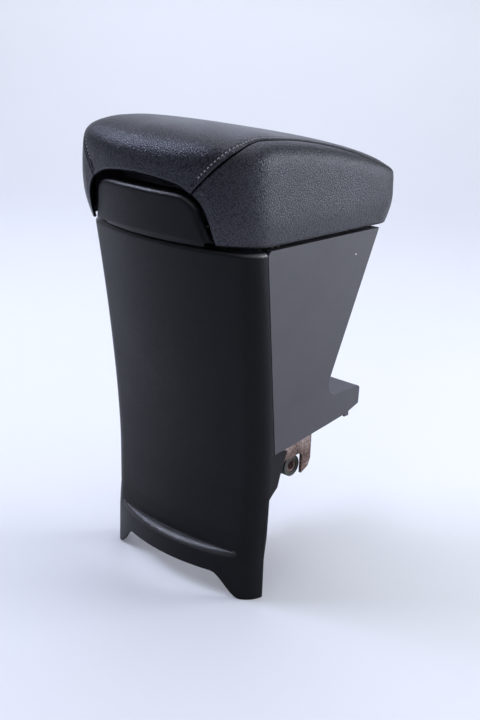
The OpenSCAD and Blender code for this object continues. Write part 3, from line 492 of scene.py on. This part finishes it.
def hinge_cover():
    """The leaning, bowed cover over the hinge, as a 2 mm shell."""
    foot, high = COVER_W/2, COVER_H - COVER_CORNER
    turn = np.linspace(0, math.pi/2, 6)
    arc = np.c_[foot - COVER_LEAN - COVER_CORNER*(1 - np.cos(turn)), high + COVER_CORNER*np.sin(turn)]
    half = np.vstack([[[foot, 0], [foot - 0.2, 1.5], [foot - COVER_LEAN/2, high/2]], arc, [[20, COVER_H + 0.2],
                      [0, COVER_H + 0.3]]])
    half = chaikin(half, 3)
    path = np.vstack([half, half[::-1][1:]*[-1, 1]])
    tang = np.gradient(path, axis=0)
    nrm = np.c_[tang[:, 1], -tang[:, 0]]
    nrm[:, 1] *= ease(0, 8, path[:, 1])
    nrm /= np.linalg.norm(nrm, axis=1)[:, None]
    side = np.abs(nrm[:, 0])
    rim = 5.0
    inner = path - nrm*rim
    run = np.r_[0, np.cumsum(np.linalg.norm(np.diff(path, axis=0), axis=1))]
    base = np.c_[inner[0, 0]*(1 - 2*run/run[-1]), np.zeros(len(run))]

    def face_y(q):
        return COVER_REAR + COVER_BOW*(np.abs(q[:, 0])/foot)**2 - COVER_BACK*q[:, 1]/COVER_H
    # A lip, set back under the face, closes the slot above the rear cover
    rows = [np.c_[base[:, 0]*wide, face_y(base) + back, base[:, 1] + z]
            for wide, back, z in ((0.93, 6, -4.5), (0.93, 5.5, -1), (0.98, 2.5, 0.4), (1, 0.8, 0))]
    for t in np.linspace(1, 0, 15)[:-1]:
        q = mix(inner, base, t)
        rows.append(np.c_[q[:, 0], face_y(q), q[:, 1]])
    for a in np.linspace(0, math.pi/2, 9):
        q = path - nrm*rim*(1 - math.sin(a))
        rows.append(np.c_[q[:, 0], face_y(q) + rim*(1 - math.cos(a)), q[:, 1]])
    for dep in (2, 5, 9, 14, 19):
        q = path - nrm*(dep*mix(0.1, 0.95, side**2))[:, None]
        rows.append(np.c_[q[:, 0], face_y(q) + rim + dep, q[:, 1]])
    g = np.array(rows)
    r, c = g.shape[:2]
    v = g.reshape(-1, 3) + [0, 0, COVER_Z]
    ob = mesh_object("hinge_cover_skin", v, grid_faces(r, c), cover_plastic, "body")
    turn_out(ob)
    solid = ob.modifiers.new("wall", "SOLIDIFY")
    solid.thickness = 2*MM
    solid.offset = -1
    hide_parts("hinge_cover")
    return ob


hinge_cover()


# Leather lid

def boxy(p):
    """Exponent of the lid's section: higher is squarer."""
    side = ease(0.2, 1, np.abs(p[:, 0])/LID_HALF)
    return mix(4.4, 9, side*(1 - 0.6*ease(LID_REAR_Y + 12, REAR + 28, p[:, 1])))


def side_seam_z(y):
    """Height of the seam along the lid's sides."""
    peak = REAR + 42
    return LID_Z + SEAM_RISE - SEAM_DROP*(np.maximum(0, y - peak)/(WALL_FRONT - peak))**2


def top_z(x, y):
    """Height of the lid's crowned top."""
    d = y - REAR - 76
    ridge = LID_Z + TOP_RISE - 0.135*d - 0.00045*d*d - 0.0006*np.minimum(0, d)**2
    return mix(ridge, side_seam_z(y) + 1.5, np.minimum(1, np.abs(x)/LID_HALF)**2.5)


def edge_z(y):
    """Lower edge of the lid's skin away from the notch."""
    return LID_Z + 2*ease(REAR + 60, REAR + 12, y)


def rear_share(y):
    """1 at the lid's rear, 0 ahead of its rear corners."""
    return ease(LID_REAR_Y + 20, LID_REAR_Y - 30, y)


def mid_z(y):
    """Height where the lid is fullest."""
    return LID_MID + 17*rear_share(y)


def tuck_at(y):
    """Share by which the skin draws in at its lower edge."""
    return mix(0.035, 0.06, rear_share(y))


# The arch, as distances in from the notch's foot and down from its top
NOTCH_DROP = np.array([[54, 1], [42, 2.4], [31, 4.2], [26, 6], [21, 8.6], [14, 12], [8, 18.5], [3.5, 28],
                       [1, 38]])
NOTCH = chaikin(np.vstack([[[0, NOTCH_TOP]], np.array([NOTCH_LOW, NOTCH_TOP]) - NOTCH_DROP,
                           [[NOTCH_LOW + 2, LID_Z + 2]]]), 3)


def notch_edge(p):
    """Lower edge of the lid's skin, raised to an arch round the hinge cover."""
    low = edge_z(p[:, 1])
    cut = np.interp(np.abs(p[:, 0]) + np.where(p[:, 0] < 0, NOTCH_LEFT, 0), NOTCH[:, 0], NOTCH[:, 1])
    inside = (p[:, 1] < LID_REAR_Y) & (np.abs(p[:, 0]) < NOTCH_LOW + 2)
    return np.where(inside, np.maximum(low, cut), low)


def seam_z(p):
    """Height of the seam, which falls to the lower edge at the lid's two ends."""
    x, low, high = np.abs(p[:, 0]), notch_edge(p), side_seam_z(p[:, 1])
    u = LID_HALF - 7 - x
    line = high - 0.57*(u + np.sqrt(u*u + 36)) + mix(0.5, 1.26, ease(88, 98, x))
    rear = np.where(line > low + 1.5, line, low)
    t = np.clip((x - SEAM_FRONT)/(LID_HALF - 3 - SEAM_FRONT), 0, 1)
    front = np.where(t <= 0, low, mix(low + 1.5, high, t**0.6))
    return np.where(p[:, 1] < LID_REAR_Y + 8, rear, np.where(p[:, 1] > LID_FRONT_Y - 4, front, high))


def lid_ring():
    """Outline of the lid seen from above, closer steps beside the notch where its edge is steep."""
    rear = end_curve(LID_HALF, LID_CORNER, BOW_REAR, LID_REAR_Y, -1, 160, 500)
    front = end_curve(LID_HALF, 30, 36, LID_FRONT_Y, 1, 160, 500)
    side = np.linspace(LID_REAR_Y, LID_FRONT_Y, 600)[1:-1]
    ring = np.vstack([rear, np.c_[np.full(len(side), -LID_HALF), side], front[::-1],
                      np.c_[np.full(len(side), LID_HALF), side[::-1]], rear[:1]])
    step = np.linalg.norm(np.diff(ring, axis=0), axis=1)
    mid = (ring[1:] + ring[:-1])/2
    near = (mid[:, 1] < LID_REAR_Y) & (np.abs(mid[:, 0]) > NOTCH_LOW - 34) & (np.abs(mid[:, 0]) < NOTCH_LOW + 5)
    cum = np.r_[0, np.cumsum(step*np.where(near, 4.5, 1.0))]
    want = np.linspace(0, cum[-1], 421)[:-1]
    return np.c_[np.interp(want, cum, ring[:, 0]), np.interp(want, cum, ring[:, 1])]


RING = lid_ring()
N_BOX = boxy(RING)


def profiles():
    """For each outline point: the skin from its lower edge to the middle of the top, and its length."""
    s = np.linspace(0, 0.86, 50)[None, :]
    n = N_BOX[:, None]
    c0 = (1 - 0.86**n)**(1/n)
    c = c0*np.linspace(1, 0, 140)[None, :]
    q = np.hstack([np.tile(np.linspace(-1, -0.04, 24), (len(RING), 1)), np.arcsin(s**(n/2))*2/math.pi,
                   np.arccos(np.clip(c**(n/2), 0, 1))*2/math.pi])
    mid = mid_z(RING[:, 1:])
    cc = np.where(q < 0, 1 - tuck_at(RING[:, 1:])*q*q, np.abs(np.cos(np.maximum(q, 0)*math.pi/2))**(2/n))
    ss = np.where(q < 0, 0, np.sin(np.maximum(q, 0)*math.pi/2)**(2/n))
    x, y = RING[:, :1]*cc, RING[:, 1:]*cc
    z = np.where(q < 0, mix(mid, edge_z(RING[:, 1:]), -q), mid + (top_z(x, y) - mid)*ss)
    pts = np.stack([x, y, z], -1)
    steps = np.linalg.norm(np.diff(pts, axis=1), axis=2)
    run = np.concatenate([np.zeros((len(RING), 1)), np.cumsum(steps, axis=1)], 1)
    return q, pts, run


Q, PTS, RUN = profiles()


def q_at(z):
    """The skin's parameter at height z on every outline point."""
    mid = mid_z(RING[:, 1])
    s = np.minimum(0.999, (z - mid)/(top_z(RING[:, 0]*0.95, RING[:, 1]*0.95) - mid))
    low = -(mid - z)/(mid - edge_z(RING[:, 1]))
    return np.where(z <= mid, low, np.arcsin(np.maximum(s, 0)**(N_BOX/2))*2/math.pi)


def length_at(q):
    """Length along the skin at parameter q on every outline point."""
    return np.array([np.interp(q[i], Q[i], RUN[i]) for i in range(len(RING))])


L_LOW = length_at(q_at(notch_edge(RING)))
L_SEAM = length_at(q_at(seam_z(RING)))
HAS_SIDE = seam_z(RING) - notch_edge(RING) > 1


def sample(i, lengths):
    """Points of the skin on outline point i at given lengths from its lower edge."""
    return np.stack([np.interp(lengths, RUN[i], PTS[i][:, k]) for k in range(3)], -1)


def normals(g, closed):
    """Outward normals of a grid of points."""
    if closed:
        du = np.roll(g, -1, 1) - np.roll(g, 1, 1)
    else:
        du = np.gradient(g, axis=1)
    dv = np.gradient(g, axis=0)
    n = np.cross(du, dv)
    n /= np.linalg.norm(n, axis=2)[..., None] + 1e-9
    out = g - np.array([0, 0, LID_MID])
    sign = np.sign((n*out).sum(2).mean())
    return n*sign


def roll(d, r):
    """How far a turned-in edge of radius r lies under the surface at distance d from it."""
    return np.where(d < r, r - np.sqrt(np.maximum(0, r*r - (r - np.minimum(d, r))**2)), 0)


NEAR = np.array([0, 0, 0.3, 0.8, 1.4, 2.1, 3.0, 4.1, 5.2, 6.3, 7.6, 9.5, 12.0])
EDGE_R = 2.2


def along(cols, lengths):
    """Running length along the panel's edge, in millimetres."""
    pts = np.array([sample(i, np.array([lengths[i]]))[0] for i in cols])
    return np.r_[0, np.cumsum(np.linalg.norm(np.diff(pts, axis=0), axis=1))]


def top_panel():
    """The leather over the top and both ends, from the seam up to the middle."""
    cols = list(range(len(RING)))
    rows = []
    dist = []
    for i in cols:
        rest = np.linspace(NEAR[-1], RUN[i][-1] - L_SEAM[i], 36)[1:]
        d = np.r_[NEAR, rest]
        rows.append(sample(i, L_SEAM[i] + d))
        dist.append(d)
    g, d = np.array(rows).transpose(1, 0, 2), np.array(dist).T
    nrm = normals(g, True)
    nrm[-1] = [0, 0, 1]
    sewn = HAS_SIDE.astype(float)
    inset = roll(d, EDGE_R) + sewn*(0.5*np.exp(-((d - STITCH_IN)/1.0)**2) - 0.5*np.exp(-((d - 3.4)/1.6)**2))
    inset -= 0.35*ease(8, 22, d)
    inset[0] += 3.5
    g = g - nrm*inset[..., None]
    r, c = g.shape[:2]
    v = np.vstack([g[:-1].reshape(-1, 3), g[-1].mean(0)[None]])
    f = grid_faces(r - 1, c, closed=True)
    last = (r - 2)*c
    f += [[last + i, last + (i + 1) % c, len(v) - 1] for i in range(c)]
    run = along(cols, L_SEAM)
    uv = np.stack([np.tile(run, (r - 1, 1)), np.where(sewn > 0, d[:-1], 60.0)], -1).reshape(-1, 2)
    uv = np.vstack([uv, [[0, 60.0]]])
    ob = mesh_object("leather_top_panel", v, f, leather_mat, "lid", uv)
    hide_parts("leather_top", "lid_foam")
    return ob, g, nrm


def side_panel(name, cols, node_name):
    """The leather of one side, from the seam down to the lower edge."""
    rows, seam_d, low_d = [], [], []
    for i in cols:
        span = L_SEAM[i] - 0.5 - L_LOW[i]
        near = NEAR*min(1, span/2/NEAR[-1])
        mid = np.linspace(near[-1], span - near[-1], 16)[1:-1]
        d = np.r_[near, mid, (span - near)[::-1]]
        rows.append(sample(i, L_SEAM[i] - 0.5 - d))
        seam_d.append(d)
        low_d.append(span - d)
    g = np.array(rows).transpose(1, 0, 2)
    ds, dl = np.array(seam_d).T, np.array(low_d).T
    nrm = normals(g, False)
    inset = np.maximum(roll(ds, EDGE_R), roll(dl, EDGE_R)) - 0.4*np.minimum(ease(5, 20, ds), ease(5, 20, dl))
    inset[0] += 3.5
    inset[-1] += 5
    g = g - nrm*inset[..., None]
    r, c = g.shape[:2]
    run = along(cols, L_SEAM)
    uv = np.stack([np.tile(run, (r, 1)), ds + 40.0], -1).reshape(-1, 2)
    ob = mesh_object(name, g.reshape(-1, 3), grid_faces(r, c), leather_mat, "lid", uv)
    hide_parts(node_name)
    return ob


top_ob, TOP_G, TOP_N = top_panel()
size = len(RING)
right = [i for i in range(size) if RING[i, 0] > 0 and HAS_SIDE[i]]
gap = max(range(len(right)), key=lambda k: (right[(k + 1) % len(right)] - right[k]) % size)
right = right[gap + 1:] + right[:gap + 1]
left = [i for i in range(size) if RING[i, 0] < 0 and HAS_SIDE[i]]
sides = [side_panel("leather_side_right", right, "leather_right"),
         side_panel("leather_side_left", left, "leather_left")]


def fix_normals(ob):
    """Turns an open panel's faces away from the lid's middle."""
    bm = bmesh.new()
    bm.from_mesh(ob.data)
    bmesh.ops.dissolve_degenerate(bm, dist=0.000002, edges=bm.edges)
    bmesh.ops.recalc_face_normals(bm, faces=bm.faces)
    mid = Vector((0, 0, LID_MID*MM))
    s = sum(f.calc_area()*f.normal.dot(f.calc_center_median() - mid) for f in bm.faces)
    if s < 0:
        bmesh.ops.reverse_faces(bm, faces=bm.faces)
    bm.to_mesh(ob.data)
    bm.free()


for ob in [top_ob] + sides:
    fix_normals(ob)


# Stitches: short rounded lengths of thread along each seam, on the top panel

def stitches(name, cols):
    """A row of stitches along the outline points in cols."""
    base = np.array([[np.interp(STITCH_IN, NEAR[1:], TOP_G[1:len(NEAR), i, k]) for k in range(3)]
                     for i in cols])
    nrm = np.array([TOP_N[9, i] for i in cols])
    run = np.r_[0, np.cumsum(np.linalg.norm(np.diff(base, axis=0), axis=1))]
    verts, faces = [], []
    count = int(run[-1]/STITCH)
    rad, half = 0.42, STITCH*0.36
    for k in range(2, count - 1):
        mid = (k + 0.5)*STITCH
        ts = np.array([-1, -0.85, -0.5, 0, 0.5, 0.85, 1])
        rr = rad*np.array([0.25, 0.7, 1, 1, 1, 0.7, 0.25])
        sink = np.array([-0.35, -0.1, 0.12, 0.2, 0.12, -0.1, -0.35])
        at = mid + ts*half
        pts = np.stack([np.interp(at, run, base[:, j]) for j in range(3)], -1)
        nn = np.stack([np.interp(at, run, nrm[:, j]) for j in range(3)], -1)
        nn /= np.linalg.norm(nn, axis=1)[:, None]
        tan = pts[-1] - pts[0]
        tan /= np.linalg.norm(tan)
        b0 = len(verts)
        for j in range(len(ts)):
            b = np.cross(tan, nn[j])
            for a in range(8):
                w = 2*math.pi*a/8
                verts.append(pts[j] + nn[j]*(sink[j] + rr[j]*math.sin(w)) + b*rr[j]*1.25*math.cos(w))
        faces += grid_faces(len(ts), 8, closed=True, base=b0)
        faces += [[b0 + a for a in range(8)], [b0 + 8*(len(ts) - 1) + a for a in range(8)][::-1]]
    ob = mesh_object(name, np.array(verts), faces, thread, "lid")
    return ob


stitches("stitches_right", right)
stitches("stitches_left", left)


# Latch spring: a coil that rides on the lid

def latch_spring():
    """The coil, as one rigid piece on the lid."""
    z0, z1, turns, n, sides, wire, rad = BODY_H + 9.7, 340.9, 7, 24, 8, 0.4, 3.0
    verts = []
    for k in range(turns*n + 1):
        a = 2*math.pi*k/n
        z = mix(z0 + wire, z1 - wire, k/(turns*n))
        for i in range(sides):
            b = 2*math.pi*i/sides
            reach = rad + wire*math.cos(b)
            verts.append((reach*math.cos(a), FRONT - 22 + reach*math.sin(a), z + wire*math.sin(b)))
    last = turns*n*sides
    faces = grid_faces(turns*n + 1, sides, closed=True)
    faces += [list(range(sides))[::-1], [last + i for i in range(sides)]]
    ob = mesh_object("latch_spring_coil", verts, faces, zinc, "lid")
    turn_out(ob)
    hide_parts("latch_spring")
    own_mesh(ob)


latch_spring()


# Camera, floor and light: the camera was fitted to the photo's outlines

AZ, EL, ROLL = math.radians(42.0), math.radians(18.74), math.radians(2.21)
back = Vector((math.sin(AZ)*math.cos(EL), -math.cos(AZ)*math.cos(EL), math.sin(EL)))
right_v = (-back).cross(Vector((0, 0, 1))).normalized()
up_v = right_v.cross(-back).normalized()
r2 = right_v*math.cos(ROLL) + up_v*math.sin(ROLL)
u2 = up_v*math.cos(ROLL) - right_v*math.sin(ROLL)
cam_data = bpy.data.cameras.new("camera")
FOCAL_PX, FRAME_PX, SENSOR = 1175.98, 720, 36  # focal length in pixels of the photo's longer side
cam_data.lens = FOCAL_PX/FRAME_PX*SENSOR
cam_data.sensor_width = SENSOR
cam_data.sensor_fit = "AUTO"
cam = bpy.data.objects.new("camera", cam_data)
bpy.context.collection.objects.link(cam)
m = Matrix((r2, u2, back)).transposed().to_4x4()
m.translation = Vector((0.67674, -0.73764, 0.52694))
cam.matrix_world = m
bpy.context.scene.camera = cam


def backdrop():
    """A pale table that curves up into a wall behind the object."""
    prof = [(-3.0, 0.0), (1.6, 0.0)]
    for k in range(1, 13):
        a = math.pi/2*k/12
        prof.append((1.6 + 0.8*math.sin(a), 0.8*(1 - math.cos(a))))
    prof.append((2.4, 3.5))
    turn = Matrix.Rotation(AZ, 3, "Z")
    v, f = [], []
    for y, z in prof:
        for x in (-4.0, 4.0):
            p = turn @ Vector((x, y, z))
            v.append(p[:])
    for k in range(len(prof) - 1):
        f.append((2*k, 2*k + 1, 2*k + 3, 2*k + 2))
    me = bpy.data.meshes.new("floor")
    me.from_pydata(v, [], f)
    for poly in me.polygons:
        poly.use_smooth = True
    ob = bpy.data.objects.new("floor", me)
    bpy.context.collection.objects.link(ob)
    mat, nt, bsdf = material("pale table", (0.86, 0.87, 0.88), 0.6, spec=0.3)
    sep = nt.nodes.new("ShaderNodeSeparateXYZ")
    nt.links.new(coords(nt), sep.inputs[0])
    # Painted light and shade: the backdrop is coloured darker on the table and lighter up the curve into the
    # wall, with cloudy tone over it
    cloud = maths(nt, "MULTIPLY", noise(nt, 1.2, 3.0), 0.3)
    rise = maths(nt, "ADD", maths(nt, "MULTIPLY", sep.outputs["Z"], 2.0), cloud)
    stops = [(0.1, (0.80, 0.81, 0.84)), (0.25, (0.82, 0.83, 0.86)), (0.9, (0.93, 0.94, 0.96))]
    nt.links.new(ramp(nt, rise, stops), bsdf.inputs["Base Color"])
    me.materials.append(mat)
    return ob


backdrop()


def area(name, loc, target, size_x, size_y, power, colour):
    """A soft lamp aimed at a point, sizes in metres, power in watts."""
    d = bpy.data.lights.new(name, "AREA")
    d.shape = "RECTANGLE"
    d.size, d.size_y = size_x, size_y
    d.energy = power
    d.color = colour
    ob = bpy.data.objects.new(name, d)
    bpy.context.collection.objects.link(ob)
    ob.location = loc
    ob.rotation_euler = (Vector(target) - Vector(loc)).to_track_quat("-Z", "Y").to_euler()
    return ob


COOL = (0.89, 0.92, 1.0)
WINDOW = (0.72, 0.77, 1.0)  # bluer daylight from the left and the back
area("key", (1.0, 1.05, 0.55), (0.08, 0.1, 0.25), 0.7, 0.7, 12, COOL)
area("back", (-1.2, 1.6, 1.45), (0, 0, 0.35), 1.2, 1.0, 4, WINDOW)
area("top", (-0.3, 0.5, 3.0), (-0.2, 0.4, 0.0), 2.4, 2.4, 32, COOL)
area("left", (-1.3, -0.45, 1.6), (0, 0, 0.25), 0.45, 0.45, 6, WINDOW)
area("rear left", (-1.2, -0.85, 1.55), (0, 0, 0.32), 0.8, 0.22, 15, WINDOW)


def sky():
    """A soft room light, weaker from behind the object's rear."""
    world = bpy.data.worlds.new("world")
    bpy.context.scene.world = world
    world.use_nodes = True
    nt = world.node_tree
    bg = nt.nodes["Background"]
    bg.inputs["Color"].default_value = (*COOL, 1)
    dot = node(nt, "ShaderNodeVectorMath", operation="DOT_PRODUCT")
    nt.links.new(nt.nodes.new("ShaderNodeTexCoord").outputs["Generated"], dot.inputs[0])
    dot.inputs[1].default_value = (0.67, 0.74, 0.0)
    nt.links.new(spread(nt, dot.outputs["Value"], 0.06, 0.85, -1.0, 1.0), bg.inputs["Strength"])


sky()

bpy.context.scene.view_settings.view_transform = "Standard"
